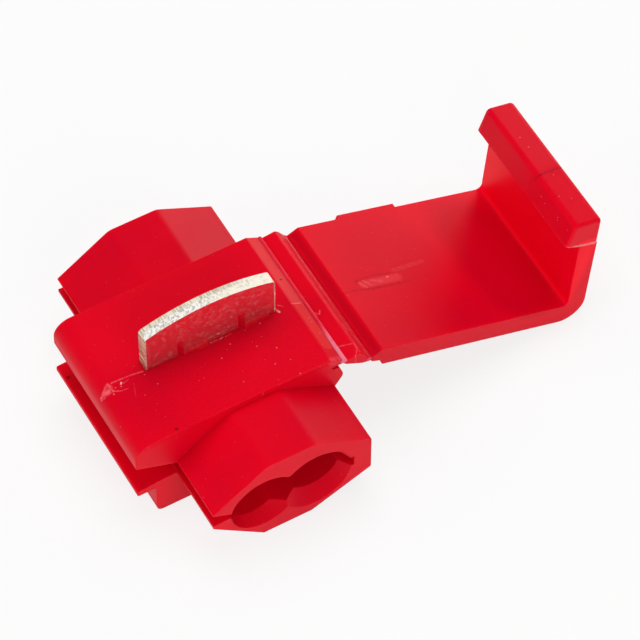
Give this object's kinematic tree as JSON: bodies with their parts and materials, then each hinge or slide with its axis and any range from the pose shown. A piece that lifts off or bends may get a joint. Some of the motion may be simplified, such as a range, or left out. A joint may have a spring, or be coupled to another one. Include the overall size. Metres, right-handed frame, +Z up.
{
  "type": "t-tap connector",
  "caption": "Run-and-tap quick splice: a body with parallel wire channels, a slotted contact blade standing in its slot, and a hooked cover on a double living hinge, shown open.",
  "frame": {"origin": "on the plane of the flat base, under the middle of the band that carries the contact", "axes": "+X across the wire channels from the jaws to the hinge, +Y along the channels towards the closed end of the tap channel, +Z up"},
  "size_m": [0.0331, 0.0204, 0.0114],
  "materials": {
    "moulding": "red polypropylene, satin from the mould",
    "contact": "tin plated, sheared edges"
  },
  "bodies": {
    "housing": {"housing": "moulding"},
    "link": {"hinge_link": "moulding"},
    "cover": {"cover": "moulding"},
    "contact": {"contact_blade": "contact"}
  },
  "joints": [
    {"name": "inner_hinge", "type": "hinge", "parent": "housing", "child": "link", "pos_m": [0.00635, 0, 0.00692], "axis": [0, -1, 0], "range_deg": [0, 141.7]},
    {"name": "outer_hinge", "type": "hinge", "parent": "link", "child": "cover", "pos_m": [0.00817, 0, 0.00584], "axis": [0, -1, 0], "range_deg": [0, 57.52]},
    {"name": "blade_press", "type": "slide", "parent": "housing", "child": "contact", "axis": [0, 0, -1], "range_m": [0, 0.00385]}
  ],
  "couplings": [
    {"joint": "blade_press", "follows": "inner_hinge", "m_per_rad": 0.001556}
  ]
}
